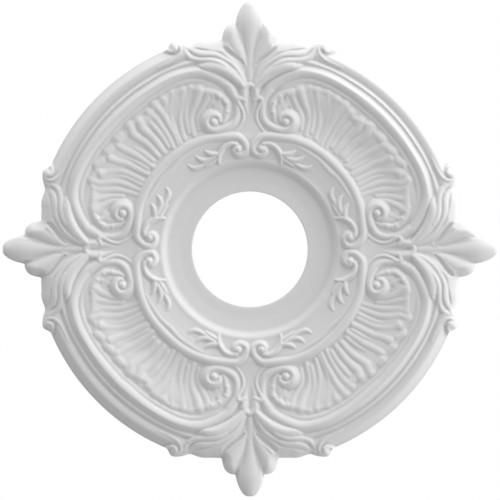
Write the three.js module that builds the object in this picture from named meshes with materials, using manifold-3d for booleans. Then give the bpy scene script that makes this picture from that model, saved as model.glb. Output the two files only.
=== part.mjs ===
// A round ceiling rose cast in one piece: a dished ring round the fitting's hole, four fluted
// shells in scrolled frames, and a cluster of leaves at each quarter that reaches past the rim.
// Millimetres. The rose hangs as it is fixed: its flat back is z = 0 against the ceiling and its
// carved face looks down, towards -Z. The origin is the middle of the back.
import * as THREE from "three";
import { mergeVertices } from "three/addons/utils/BufferGeometryUtils.js";
import Module from "manifold-3d";

// Driving sizes
const TIP_TO_TIP = 406.4;
const RIM_DIAMETER = 354.6;
const SEAT_DIAMETER = 133.2;
const HOLE_DIAMETER = 95;
const HOLE_EDGE_THICKNESS = 5.5;
const SEAT_THICKNESS = 6.9;
const WALL_WIDTH = 6.2;
const WALL_THICKNESS = 11.2;
const FIELD_SLOPE_WIDTH = 4;
const GROUND_THICKNESS = 12.1;
const RIM_THICKNESS = 12.8;
const LEAF_EDGE_THICKNESS = 6;
const FRAME_RELIEF = 5.4;
const SCROLL_RELIEF = 3.1;
const LEAF_RELIEF = 6.3;
const SINK = 1.6;
const BACK_RECESS_DEPTH = 2;
const BACK_INNER_LAND = 12;
const BACK_OUTER_LAND = 26;
const BACK_RIB_WIDTH = 14;

// The carving is drawn on a grid of 247 units from the centre to a leaf's tip. These are the
// circles of the drawing that the driving diameters set, as [grid radius, radius in mm].
const SEAT_CIRCLE = [81, SEAT_DIAMETER / 2];
const RIM_CIRCLE = [215.5, RIM_DIAMETER / 2];
const TIP_CIRCLE = [247, TIP_TO_TIP / 2];
const CIRCLES = [[0, 0], SEAT_CIRCLE, RIM_CIRCLE, TIP_CIRCLE];
const ON_GROUND = GROUND_THICKNESS - SINK;
const ON_PLATE = LEAF_EDGE_THICKNESS - SINK;
const ROUND_STEPS = 40;
const BOSS_STEPS = 6;
const QUARTER = Math.PI / 2;
const WHITE = "#f2f2f0";

const wasm = await Module();
wasm.setup();

/** A closed geometry as a solid that can be joined and cut. */
function solidOf(geometry) {
  const bare = geometry.clone();
  bare.deleteAttribute("normal");
  bare.deleteAttribute("uv");
  const merged = mergeVertices(bare, 1e-3);
  const corners = merged.index.array;
  const kept = [];
  for (let i = 0; i < corners.length; i += 3) {
    const [a, b, c] = corners.slice(i, i + 3);
    if (a !== b && b !== c && c !== a) kept.push(a, b, c);
  }
  return new wasm.Manifold(
    new wasm.Mesh({
      numProp: 3,
      vertProperties: merged.attributes.position.array,
      triVerts: new Uint32Array(kept),
    }),
  );
}

/** A solid turned back into a geometry. */
function geometryOf(solid) {
  const mesh = solid.getMesh();
  const geometry = new THREE.BufferGeometry();
  geometry.setAttribute("position", new THREE.BufferAttribute(mesh.vertProperties, 3));
  geometry.setIndex(new THREE.BufferAttribute(mesh.triVerts, 1));
  geometry.computeVertexNormals();
  return geometry;
}

/** A grid point's place on the rose, in mm: its radius is read between the drawing's circles. */
function onRose(x, y) {
  const radius = Math.hypot(x, y);
  const outer = Math.max(1, CIRCLES.findIndex(([grid]) => grid >= radius));
  const [gridFrom, from] = CIRCLES[outer - 1];
  const [gridTo, to] = CIRCLES[outer];
  const grown = THREE.MathUtils.mapLinear(radius, gridFrom, gridTo, from, to) / radius;
  return [x * grown, y * grown];
}

/** The mm above the back for a share of the relief: 0 is the ground, -1 the leaves' outer edge. */
function level(share) {
  const reach = share < 0 ? GROUND_THICKNESS - LEAF_EDGE_THICKNESS : LEAF_RELIEF;
  return GROUND_THICKNESS + share * reach;
}

/** A value read along a list of evenly spaced ones, at a share from 0 to 1. */
function along(values, share) {
  const place = share * (values.length - 1);
  const index = Math.min(Math.floor(place), values.length - 2);
  return THREE.MathUtils.lerp(values[index], values[index + 1], place - index);
}

/** Points at even steps on a smooth curve through grid points. */
function smooth(points, steps) {
  const corners = points.map(([x, y]) => new THREE.Vector3(x, y, 0));
  return new THREE.CatmullRomCurve3(corners, false, "centripetal").getSpacedPoints(steps);
}

/** Grid points of an arc about the centre of the rose, angles in degrees. */
function arc(radius, from, to, count) {
  return Array.from({ length: count }, (_, i) => {
    const angle = THREE.MathUtils.degToRad(THREE.MathUtils.lerp(from, to, i / (count - 1)));
    return [radius * Math.cos(angle), radius * Math.sin(angle)];
  });
}

/** Grid points of a scroll that winds clockwise in to its eye, radius easing from wide to tight. */
function scroll([x, y], { from, turn, wide, tight, ease, count }) {
  return Array.from({ length: count }, (_, i) => {
    const turned = (turn * i) / (count - 1);
    const radius = tight + (wide - tight) * Math.exp(-turned / ease);
    const angle = THREE.MathUtils.degToRad(from - turned);
    return [x + radius * Math.cos(angle), y + radius * Math.sin(angle)];
  });
}

/** A path from one axis to the diagonal, carried on over the diagonal to the other axis. */
function acrossDiagonal(points) {
  const far = points.map(([x, y]) => [-y, -x]).reverse();
  return [...points, ...far.slice(1)];
}

/**
 * A closed solid swept along a path on the grid. sectionAt gives, for a share of the path, the
 * section's corners as [grid units to the left, mm above the back], from left to right over the top.
 */
function sweep(path, sectionAt) {
  const last = path.length - 1;
  const sections = path.map((point, i) => {
    const ahead = path[Math.min(i + 1, last)];
    const behind = path[Math.max(i - 1, 0)];
    const heading = Math.atan2(ahead.y - behind.y, ahead.x - behind.x);
    const left = new THREE.Vector2(-Math.sin(heading), Math.cos(heading));
    return sectionAt(i / last).map(([offset, height]) => [
      ...onRose(point.x + left.x * offset, point.y + left.y * offset),
      height,
    ]);
  });
  const corners = sections[0].length;
  const faces = [];
  for (let i = 0; i < last; i += 1) {
    for (let c = 0; c < corners; c += 1) {
      const a = i * corners + c;
      const b = i * corners + ((c + 1) % corners);
      faces.push(a, b, b + corners, a, b + corners, a + corners);
    }
  }
  const outline = sectionAt(0).map(([offset, height]) => new THREE.Vector2(offset, height));
  for (const [a, b, c] of THREE.ShapeUtils.triangulateShape(outline, [])) {
    const turned = THREE.ShapeUtils.area([outline[a], outline[b], outline[c]]) < 0;
    const cap = turned ? [a, c, b] : [a, b, c];
    faces.push(cap[0], cap[2], cap[1]);
    faces.push(...cap.map((corner) => corner + last * corners));
  }
  const geometry = new THREE.BufferGeometry();
  geometry.setAttribute("position", new THREE.Float32BufferAttribute(sections.flat(2), 3));
  geometry.setIndex(faces);
  return geometry;
}

/** A raised strand whose half width and crest, a share of the relief, follow lists of values. */
function strand(points, { halfWidth, crest, foot = ON_GROUND, steps = 4 }) {
  return sweep(smooth(points, steps), (share) => {
    const half = along(halfWidth, share);
    const top = Math.max(level(along(crest, share)), foot + 0.3);
    return [[half, foot], [0, top], [-half, foot]];
  });
}

/** A round boss, such as the eye of a scroll, with its radius and its height in mm. */
function boss([x, y], radius, height, foot = ON_GROUND) {
  const profile = [
    new THREE.Vector2(0, foot),
    new THREE.Vector2(radius, foot),
    new THREE.Vector2(radius / 2, height),
    new THREE.Vector2(0, height),
  ];
  const [across, up] = onRose(x, y);
  return new THREE.LatheGeometry(profile, BOSS_STEPS).rotateX(QUARTER).translate(across, up, 0);
}

/** A copy of a geometry, turned by quarters and mirrored in the Y axis if asked. */
function placed(geometry, quarters, mirrored = false) {
  const copy = geometry.clone();
  if (mirrored) {
    copy.scale(-1, 1, 1);
    const order = copy.index.array;
    for (let i = 0; i < order.length; i += 3) {
      [order[i + 1], order[i + 2]] = [order[i + 2], order[i + 1]];
    }
  }
  return copy.rotateZ(quarters * QUARTER);
}

/** Four copies, one to each quarter. */
function fourOf(geometry) {
  return [0, 1, 2, 3].map((quarters) => placed(geometry, quarters));
}

/** Eight copies: one on each side of each leaf cluster. */
function eightOf(geometry) {
  return [0, 1, 2, 3].flatMap((quarters) => [
    placed(geometry, quarters),
    placed(geometry, quarters, true),
  ]);
}

/** The turned body: dished ring, steep wall, bead and the ground that the carving stands on. */
function body() {
  const hole = HOLE_DIAMETER / 2;
  const seat = SEAT_DIAMETER / 2;
  const [underRim] = onRose(204.5, 0);
  const profile = [
    [hole, 0],
    [underRim, 0],
    [underRim, GROUND_THICKNESS],
    [seat + WALL_WIDTH + FIELD_SLOPE_WIDTH, GROUND_THICKNESS],
    [seat + WALL_WIDTH, WALL_THICKNESS],
    [seat, SEAT_THICKNESS],
    [hole, HOLE_EDGE_THICKNESS],
    [hole, 0],
  ].map(([radius, height]) => new THREE.Vector2(radius, height));
  return new THREE.LatheGeometry(profile, ROUND_STEPS).rotateX(QUARTER);
}

/** The plain rounded rim between two leaf clusters, with the groove inside it. */
function rim() {
  const crest = 205;
  const edge = 215.5 - crest;
  return sweep(smooth(arc(crest, 159.6, 110.4, 7), 8), () => [
    [edge, 0],
    [edge, RIM_THICKNESS * 0.62],
    [edge * 0.55, RIM_THICKNESS * 0.93],
    [0, RIM_THICKNESS],
    [-4, GROUND_THICKNESS - 0.2],
    [-4, 0],
  ]);
}

/** The ball that ends the rim. */
function rimBall() {
  return boss([-74, 199], 6.3, RIM_THICKNESS + 0.2, ON_PLATE);
}

/** The frame round one shell: a broad moulding that narrows and winds in to a scroll at each end. */
function frame() {
  const inward = scroll([-36, 129], { from: 21, turn: 190, wide: 25, tight: 6, ease: 60, count: 8 });
  const outward = [[-17, 156], [-36, 169.5], [-60, 176.8], [-84, 169], [-109, 153], [-132.6, 132.6]];
  const path = smooth(acrossDiagonal([...inward.reverse(), ...outward]), 28);
  const outer = [2.6, 3.4, 3.6, 6, 8.5, 8.5, 8.5, 6, 3.6, 3.4, 2.6];
  const inner = [2.6, 3.6, 5, 8.5, 9.5, 10, 9.5, 8.5, 5, 3.6, 2.6];
  const crest = [0.63, 0.52, 0.37, 0.85, 1, 1, 1, 0.85, 0.37, 0.52, 0.63];
  const ledge = [0.2, 0.2, 0.2, 0.4, 0.45, 0.45, 0.45, 0.4, 0.2, 0.2, 0.2];
  return sweep(path, (share) => {
    const inside = along(inner, share);
    return [
      [along(outer, share), ON_GROUND],
      [0, GROUND_THICKNESS + FRAME_RELIEF * along(crest, share)],
      [-inside * 0.95, GROUND_THICKNESS + FRAME_RELIEF * along(ledge, share)],
      [-inside, ON_GROUND],
    ];
  });
}

/** The eye of the frame's scroll and the small strand that follows its outside. */
function frameScrollParts() {
  return [
    boss([-36, 129], 4.6, GROUND_THICKNESS + FRAME_RELIEF * 0.81),
    strand([[-13, 157], [-9.5, 149], [-5.5, 140], [-7, 127], [-14, 117]], {
      halfWidth: [3, 4, 2.6, 2.2, 1.5],
      crest: [0.49, 0.52, 0.22, 0.13, 0.05],
    }),
  ];
}

/** The ring of four long scrolls round the dished middle, one over each shell. */
function innerScroll() {
  const winding = scroll([-12, 100.5], { from: 75, turn: 230, wide: 12.6, tight: 4.5, ease: 210, count: 7 });
  const band = [[-22, 113], [-40, 110.6], [-60, 103], [-84.3, 84.3]];
  const path = smooth(acrossDiagonal([...winding.reverse(), ...band]), 20);
  const half = [2, 3, 4.4, 5.4, 5.8, 5.4, 4.4, 3, 2];
  const crest = [0.55, 0.8, 1, 1, 1, 1, 1, 0.8, 0.55];
  return sweep(path, (share) => {
    const width = along(half, share);
    const top = GROUND_THICKNESS + SCROLL_RELIEF * along(crest, share);
    return [[width, ON_GROUND], [0, top], [-width, ON_GROUND]];
  });
}

/** One side's sprig of slim leaves inside the ring of scrolls. */
function sprig() {
  const leaf = { halfWidth: [2, 3, 1.2], steps: 2 };
  return [
    boss([-12, 100.5], 4.1, GROUND_THICKNESS + SCROLL_RELIEF),
    strand([[-14, 104.6], [-24, 103], [-30, 95], [-31, 88]], {
      halfWidth: [2.4, 2.6, 3, 1], crest: [0.44, 0.43, 0.37, 0], steps: 3,
    }),
    strand([[-33, 94.8], [-38, 95.2], [-46, 99]], { ...leaf, crest: [0.3, 0.37, 0.13] }),
    strand([[-35, 91], [-45, 89.4], [-54, 93]], { ...leaf, crest: [0.24, 0.24, 0.05] }),
    strand([[-40, 87.5], [-47, 84], [-55, 81], [-62, 84]], { ...leaf, crest: [0.11, 0.14, -0.1] }),
  ];
}

/** One shell: lobes round its edge, whose flutes draw together towards the middle of the rose. */
function shell() {
  const lobes = 11;
  const middleLobe = (lobes - 1) / 2;
  const spread = 5.45;
  const drawn = 0.62;
  const edgeRadius = 166;
  const edgeSwell = 4.5;
  return Array.from({ length: lobes }, (_, k) => {
    const lobe = k - middleLobe;
    const reach = edgeRadius + edgeSwell * Math.sin((Math.PI * Math.abs(lobe)) / middleLobe);
    const [outer] = arc(reach, 135 + lobe * spread, 135, 2);
    const [middle] = arc(150, 135 + lobe * spread * 0.88, 135, 2);
    const [inner] = arc(127, 135 + lobe * spread * drawn, 135, 2);
    return strand([outer, middle, inner], {
      halfWidth: [5.6, 5, 2],
      crest: [0.62, 0.4, 0.11],
      steps: 2,
    });
  });
}

/** The outer side of a shell, which rolls over beside the frame's scroll. */
function shellRoll() {
  return strand([[-48, 157], [-38, 156], [-28, 149], [-25, 142], [-28, 134]], {
    halfWidth: [3.5, 4.4, 4.4, 3], crest: [0.59, 0.52, 0.33, 0.3], steps: 3,
  });
}

/** The long leaf on the axis of a cluster. */
function middleLeaf() {
  return strand([[0, 186], [0, 246.4]], {
    halfWidth: [3, 5.5, 9.5, 13, 10.4, 2.6],
    crest: [0.08, 0.05, 0.11, 0.14, -0.28, -0.95],
    foot: ON_PLATE,
    steps: 5,
  });
}

/** The leaves of one side of a cluster, from the tip down to the frame's scroll. */
function clusterLeaves() {
  return [
    strand([[-6, 192], [-12, 204], [-18, 213], [-19, 222]], {
      halfWidth: [3, 6, 7, 5.4], crest: [0.13, 0.22, 0.05, -0.75], foot: ON_PLATE, steps: 2,
    }),
    strand([[-10, 178], [-19, 190], [-34, 199.6], [-55, 202]], {
      halfWidth: [3, 4.4, 6.6, 4], crest: [0.27, 0.4, 0.29, -0.57], foot: ON_PLATE, steps: 3,
    }),
    strand([[-9, 170], [-18, 181.5], [-34, 193], [-57, 198]], {
      halfWidth: [3, 4, 4, 2.4], crest: [0.46, 0.57, 0.59, -0.1], steps: 3,
    }),
    strand([[-40, 188.4], [-52, 189], [-61, 193], [-66, 202]], {
      halfWidth: [3.4, 3.4, 3.2, 3], crest: [0.62, 0.52, 0.24, -0.54], foot: ON_PLATE, steps: 2,
    }),
    strand([[-8, 164], [-17, 174.5], [-32, 182.6], [-48, 183]], {
      halfWidth: [2.5, 5, 6.4, 2.6], crest: [0.52, 0.81, 1, 0.84], steps: 3,
    }),
    strand([[-2.8, 141], [-5.4, 152], [-1.8, 164.5]], {
      halfWidth: [2, 4, 2.6], crest: [0.24, 0.57, 0.43], steps: 2,
    }),
  ];
}

/** The plate under a cluster, cut to the leaves' outline, which carries them out past the rim. */
function clusterPlate() {
  const half = [
    [-68, 188], [-80, 193], [-81.5, 201], [-79, 206], [-74, 207.3], [-66, 206.2],
    [-59.3, 204.6], [-53, 206.6], [-45, 208.3], [-29, 208.4], [-27, 214.5], [-25.4, 219.2],
    [-22, 223], [-17, 224.9], [-14, 225.2], [-13.7, 229], [-12.3, 234], [-9.8, 239.8],
    [-6.6, 244.4], [-4, 246.3],
  ];
  const outline = [...half, [0, 247], ...half.map(([x, y]) => [-x, y]).reverse()];
  const shape = new THREE.Shape(outline.map(([x, y]) => new THREE.Vector2(...onRose(x, y))));
  return new THREE.ExtrudeGeometry(shape, { depth: LEAF_EDGE_THICKNESS, bevelEnabled: false });
}

/** The shallow recess in the back, which leaves lands and ribs for the adhesive. */
function backRecess() {
  const inner = HOLE_DIAMETER / 2 + BACK_INNER_LAND;
  const outer = RIM_DIAMETER / 2 - BACK_OUTER_LAND;
  const slack = 1;
  const ribs = 8;
  const bay = (2 * Math.PI) / ribs;
  const atInner = Math.asin(BACK_RIB_WIDTH / 2 / inner);
  const atOuter = Math.asin(BACK_RIB_WIDTH / 2 / outer);
  const settings = { depth: BACK_RECESS_DEPTH + slack, bevelEnabled: false, curveSegments: 2 };
  return Array.from({ length: ribs }, (_, i) => {
    const shape = new THREE.Shape();
    shape.absarc(0, 0, outer, i * bay + atOuter, (i + 1) * bay - atOuter, false);
    shape.absarc(0, 0, inner, (i + 1) * bay - atInner, i * bay + atInner, true);
    return new THREE.ExtrudeGeometry(shape, settings).translate(0, 0, -slack);
  });
}

const carving = [
  ...fourOf(rim()),
  ...fourOf(frame()),
  ...fourOf(innerScroll()),
  ...fourOf(middleLeaf()),
  ...fourOf(clusterPlate()),
  ...shell().flatMap(fourOf),
  ...[rimBall(), ...frameScrollParts(), ...sprig(), shellRoll(), ...clusterLeaves()].flatMap(eightOf),
];
const faceUp = carving.reduce((joined, piece) => joined.add(solidOf(piece)), solidOf(body()));
const hollowed = backRecess().reduce((left, bay) => left.subtract(solidOf(bay)), faceUp);

const finish = new THREE.MeshStandardMaterial({ color: WHITE, roughness: 0.6, metalness: 0 });
const rose = new THREE.Mesh(geometryOf(hollowed).rotateY(Math.PI), finish);
rose.name = "ceiling_rose";

const group = new THREE.Group();
group.add(rose);
export default group;
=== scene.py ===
"""A white moulded ceiling rose: seat, field, scrolls, shells, rim and four leaf clusters.

The relief is drawn in the rose's own grid units, where the tip of a leaf cluster is 247 units
from the middle, and heights are millimetres above the flat back. One quarter is carved on a spun
profile, and the other three quarters are its mirror copies.
"""

import logging
import math
from dataclasses import dataclass, field
from enum import Enum

import bmesh
import bpy
import numpy as np
from mathutils import Euler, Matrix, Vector


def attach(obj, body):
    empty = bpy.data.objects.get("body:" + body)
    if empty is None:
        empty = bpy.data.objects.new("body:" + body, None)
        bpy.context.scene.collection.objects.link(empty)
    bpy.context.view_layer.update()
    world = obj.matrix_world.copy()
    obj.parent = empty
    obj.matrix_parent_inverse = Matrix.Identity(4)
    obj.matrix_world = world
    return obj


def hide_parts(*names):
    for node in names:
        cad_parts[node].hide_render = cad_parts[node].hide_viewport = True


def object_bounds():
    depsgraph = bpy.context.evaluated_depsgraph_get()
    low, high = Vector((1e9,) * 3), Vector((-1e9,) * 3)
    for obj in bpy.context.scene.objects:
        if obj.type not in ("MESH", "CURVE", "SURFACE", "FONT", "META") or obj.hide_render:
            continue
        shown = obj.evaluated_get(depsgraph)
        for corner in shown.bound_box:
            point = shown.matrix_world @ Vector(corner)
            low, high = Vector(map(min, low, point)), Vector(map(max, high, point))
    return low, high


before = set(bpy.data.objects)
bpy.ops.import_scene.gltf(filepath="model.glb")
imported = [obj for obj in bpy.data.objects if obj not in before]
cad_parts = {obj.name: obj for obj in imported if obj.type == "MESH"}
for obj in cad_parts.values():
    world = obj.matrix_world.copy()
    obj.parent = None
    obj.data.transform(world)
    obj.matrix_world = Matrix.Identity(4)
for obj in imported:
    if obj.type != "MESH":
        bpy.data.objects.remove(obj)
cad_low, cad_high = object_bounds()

LOG = logging.getLogger("ceiling_rose")

TIP_UNITS = 247.0
UNIT = (cad_high.x - cad_low.x) / 2 / TIP_UNITS  # metres in one grid unit
UNIT_MM = UNIT * 1000
MILLIMETRE = 0.001
QUARTER_TURN = math.pi / 2

DOT_LENGTH = 1e-3  # units that a lone spot is drawn out to, so that it is a line
SHORTEST = 1e-9  # keeps a step of no length from dividing by zero
REACH_WIDTHS = 3  # half widths that a line is carved out to, with the margin on top
REACH_MARGIN = 2  # units
WELD = 1e-7  # metres between points that become one

Spot = tuple[float, float, float, float]
Pair = tuple[float, float]


class Side(Enum):
    """The two ways that carving changes the surface."""

    RAISED = 1
    CUT = -1


class Fold(Enum):
    """How one drawn motif is repeated over a quarter."""

    EIGHTH = "mirrored about the quarter's diagonal"
    QUARTER = "drawn once over the whole quarter"


def flowing(spots: tuple[Spot | Pair, ...], steps: int = 6) -> np.ndarray:
    """Lays a smooth line through drawn spots.

    Args:
        spots: across and out of each spot along the line, then height and half width if drawn.
        steps: pieces between one spot and the next.

    Returns:
        One row for each point of the smooth line, with the spots' own columns.
    """
    drawn = np.array(spots, dtype=float)
    if len(drawn) == 1:
        return np.vstack([drawn, drawn + (DOT_LENGTH, 0, 0, 0)])
    padded = np.vstack([2 * drawn[0] - drawn[1], drawn, 2 * drawn[-1] - drawn[-2]])
    share = np.linspace(0, 1, steps, endpoint=False)[:, None]
    rows = []
    for before, here, there, after in zip(padded, padded[1:], padded[2:], padded[3:]):
        slope_here, slope_there = (there - before) / 2, (after - here) / 2
        rise = there - here
        rows.append(
            here
            + slope_here * share
            + (3 * rise - 2 * slope_here - slope_there) * share**2
            + (slope_here + slope_there - 2 * rise) * share**3
        )
    return np.vstack(rows + [drawn[-1:]])


def eased(value: np.ndarray, start: float, end: float) -> np.ndarray:
    """Runs smoothly from 0 at start to 1 at end."""
    share = np.clip((value - start) / (end - start), 0, 1)
    return share * share * (3 - 2 * share)


def through(knots: tuple[Pair, ...], at: np.ndarray) -> np.ndarray:
    """Reads a smooth section through knots of place and height.

    Args:
        knots: place and height of each knot, in order of place.
        at: places to read.

    Returns:
        The section's height at each place, level beyond its ends.
    """
    place, level = np.array(knots).T
    gap, rise = np.diff(place), np.diff(level)
    chord = rise / gap
    slope = np.zeros(len(place))
    agree = chord[:-1] * chord[1:] > 0
    slope[1:-1][agree] = (2 * chord[:-1] * chord[1:] / (chord[:-1] + chord[1:]))[agree]
    at = np.clip(at, place[0], place[-1])
    part = np.clip(np.searchsorted(place, at) - 1, 0, len(gap) - 1)
    share = (at - place[part]) / gap[part]
    start, end = slope[part] * gap[part], slope[part + 1] * gap[part]
    return (
        level[part]
        + start * share
        + (3 * rise[part] - 2 * start - end) * share**2
        + (start + end - 2 * rise[part]) * share**3
    )


def merged(first: np.ndarray, second: np.ndarray, soft: float, side: Side) -> np.ndarray:
    """Joins two surfaces with a soft fillet where they cross.

    Args:
        first: heights of the surface so far.
        second: heights of the new surface.
        soft: depth of the fillet in millimetres.
        side: RAISED keeps the higher surface, CUT the lower one.

    Returns:
        The joined heights.
    """
    near = np.maximum(soft - np.abs(first - second), 0) / soft
    outer = np.maximum(first, second) if side is Side.RAISED else np.minimum(first, second)
    return outer + side.value * near * near * soft / 4


@dataclass(frozen=True)
class Line:
    """One carved line: a raised strand, or a groove cut into what is there.

    Each spot gives the line's place in grid units, its crest or floor in millimetres above the
    back and its half width in units. The flanks fall away, or rise from a groove, by a share of
    that half width, first to the left and then to the right of the way the line runs.
    """

    spots: tuple[Spot, ...]
    flanks: Pair = (0.6, 0.6)
    side: Side = Side.RAISED
    soft: float = 0.45
    fold: Fold = Fold.EIGHTH


@dataclass(frozen=True)
class Rounding:
    """The rounded free edge along an outline, which climbs inwards from a thin lip."""

    edge: tuple[Pair, ...]
    lip: float = 5.8
    bulge: float = 2.7
    reach: float = 14.0
    soft: float = 0.5


@dataclass
class Relief:
    """The surface being carved over one quarter of the rose."""

    across: np.ndarray
    out: np.ndarray
    height: np.ndarray = field(init=False)

    def __post_init__(self) -> None:
        """Starts from a level surface."""
        self.height = np.zeros_like(self.across)

    @property
    def radius(self) -> np.ndarray:
        """Distance from the middle of the rose."""
        return np.hypot(self.across, self.out)

    def folded(self, fold: Fold) -> tuple[np.ndarray, np.ndarray]:
        """Gives the places that a motif is drawn at.

        Args:
            fold: how the motif is repeated.

        Returns:
            Across and out of each place, mirrored into one eighth where the motif is.
        """
        if fold is Fold.QUARTER:
            return self.across, self.out
        return np.minimum(self.across, self.out), np.maximum(self.across, self.out)

    def measure(self, row: np.ndarray, fold: Fold, reach: float) -> tuple[np.ndarray, ...]:
        """Measures every place near a line against it.

        Args:
            row: the smooth line from flowing().
            fold: how the line is repeated.
            reach: how far from the line to look, in units.

        Returns:
            The places' indices, distance, side sign, line height and half width.
        """
        across, out = self.folded(fold)
        low, high = row[:, :2].min(0) - reach, row[:, :2].max(0) + reach
        inside = (across > low[0]) & (across < high[0]) & (out > low[1]) & (out < high[1])
        index = np.flatnonzero(inside)
        place = np.stack([across.flat[index], out.flat[index]], 1)
        best = np.full(len(index), np.inf)
        sign, level, wide = np.zeros((3, len(index)))
        for start, end in zip(row, row[1:]):
            way = end[:2] - start[:2]
            long = max(way @ way, SHORTEST)
            offset = place - start[:2]
            share = np.clip(offset @ way / long, 0, 1)
            gap = np.hypot(*(offset - share[:, None] * way).T)
            closer = gap < best
            best[closer] = gap[closer]
            turn = way[0] * offset[:, 1] - way[1] * offset[:, 0]
            sign[closer] = np.where(turn > 0, -1, 1)[closer]
            level[closer] = (start[2] + share * (end[2] - start[2]))[closer]
            wide[closer] = (start[3] + share * (end[3] - start[3]))[closer]
        near = best < reach
        return index[near], best[near], sign[near], level[near], wide[near]

    def carve(self, line: Line) -> None:
        """Raises or cuts one line in the surface.

        Args:
            line: the line, whose flanks are bowed near it and straight further out.
        """
        row = flowing(line.spots)
        reach = REACH_WIDTHS * row[:, 3].max() + REACH_MARGIN
        index, gap, sign, level, wide = self.measure(row, line.fold, reach)
        share = gap / wide
        bow = np.where(share < 1, share * share, 2 * share - 1)
        flank = np.where(sign < 0, *line.flanks) * wide * UNIT_MM * bow
        level = level - line.side.value * flank
        self.height.flat[index] = merged(self.height.flat[index], level, line.soft, line.side)

    def round_off(self, rounding: Rounding) -> None:
        """Lets the surface curve down to its free edge.

        Args:
            rounding: the edge, which has no height or width of its own.
        """
        edge = np.pad(flowing(rounding.edge), ((0, 0), (0, 2)))
        index, gap, _, _, _ = self.measure(edge, Fold.EIGHTH, rounding.reach)
        limit = rounding.lip + rounding.bulge * np.sqrt(gap)
        self.height.flat[index] = merged(self.height.flat[index], limit, rounding.soft, Side.CUT)


@dataclass(frozen=True)
class Body:
    """The turned form under the carving: seat, wall, bead, field, shell floor and rim."""

    hole_radius: float = 57.75
    level_radius: float = 192.0
    rim_radius: float = 215.5
    scroll_ring: Pair = (104.0, 118.0)
    axis_reach: Pair = (20.0, 34.0)
    seat_to_field: tuple[Pair, ...] = (
        (57.75, 5.2), (58.6, 5.5), (68, 5.6), (74, 6.0), (80, 6.5), (82, 6.9), (83.4, 7.7),
        (88, 10.7), (89.6, 11.05), (91.5, 11.0), (96, 11.3), (100, 11.8), (104, 12.3),
        (108, 12.9), (112, 13.5), (118, 13.4),
    )
    by_the_shell: tuple[Pair, ...] = (
        (118, 13.4), (125, 12.2), (130, 11.6), (136, 11.2), (143, 11.2), (149, 11.6),
        (156, 12.6), (162, 13.6), (167, 14.2), (172, 14.4), (176, 14.2), (184, 14.2),
        (192, 14.2),
    )
    by_the_axis: tuple[Pair, ...] = (
        (104, 12.4), (112, 12.5), (120, 12.3), (130, 12.1), (141, 12.3), (160, 12.6), (192, 12.6),
    )
    rim_section: tuple[Pair, ...] = (
        (192, 14.2), (194.4, 13.9), (195.6, 14.35), (196.6, 14.1), (198.2, 12.9),
        (199.8, 11.8), (201, 12.25), (203, 12.65), (205, 12.8), (206.5, 12.65), (208, 12.0),
        (210, 10.4), (212, 8.7), (214, 6.9), (215.5, 5.7),
    )

    def carve(self, relief: Relief) -> None:
        """Lays the turned form over the quarter.

        Args:
            relief: the surface to lay it on.
        """
        radius = relief.radius
        across, _ = relief.folded(Fold.EIGHTH)
        shell = through(self.by_the_shell, radius)
        axis = through(self.by_the_axis, radius)
        share = eased(across, *self.axis_reach)
        middle = share * shell + (1 - share) * axis
        inner = through(self.seat_to_field, radius)
        scrolls = eased(radius, *self.scroll_ring)
        relief.height = np.where(
            radius < self.scroll_ring[1], (1 - scrolls) * inner + scrolls * middle, middle
        )
        outer = radius > self.level_radius
        relief.height[outer] = through(self.rim_section, radius[outer])


@dataclass(frozen=True)
class InnerScroll:
    """The long scroll between field and shell, with a fine ridge inside its curve."""

    band: Line = Line(
        (
            (84.5, 84.5, 14.9, 4.6), (78, 90.5, 15.0, 4.6), (70, 97, 15.1, 4.6),
            (60, 103.3, 15.1, 4.6), (50, 107.5, 15.2, 4.4), (40, 110.7, 15.4, 4.2),
            (30, 112.2, 15.5, 4.0), (20, 113, 15.2, 3.8), (13, 112.8, 14.9, 3.5),
            (8, 110, 14.7, 3.2), (4.3, 105.5, 14.5, 3.0), (3, 101, 14.4, 2.8),
            (4, 97.5, 14.0, 2.5), (8, 95, 13.8, 2.3), (12, 95.2, 14.0, 2.2),
            (15, 98, 14.4, 2.0), (14.5, 101, 14.8, 1.8),
        ),
        flanks=(0.5, 0.5),
        soft=0.2,
    )
    eye: Line = Line(((12, 100.5, 15.5, 3.0),), flanks=(0.5, 0.5))
    ridge: Line = Line(
        (
            (79, 79, 14.1, 2.4), (70, 89, 14.2, 2.4), (60, 96, 14.1, 2.4), (50, 102, 14.0, 2.2),
            (44, 104.5, 13.9, 2.0), (38, 106, 13.5, 1.6),
        ),
        flanks=(0.35, 0.35),
    )

    def carve(self, relief: Relief) -> None:
        """Raises the scroll and its ridge."""
        for line in (self.ridge, self.band, self.eye):
            relief.carve(line)


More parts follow.
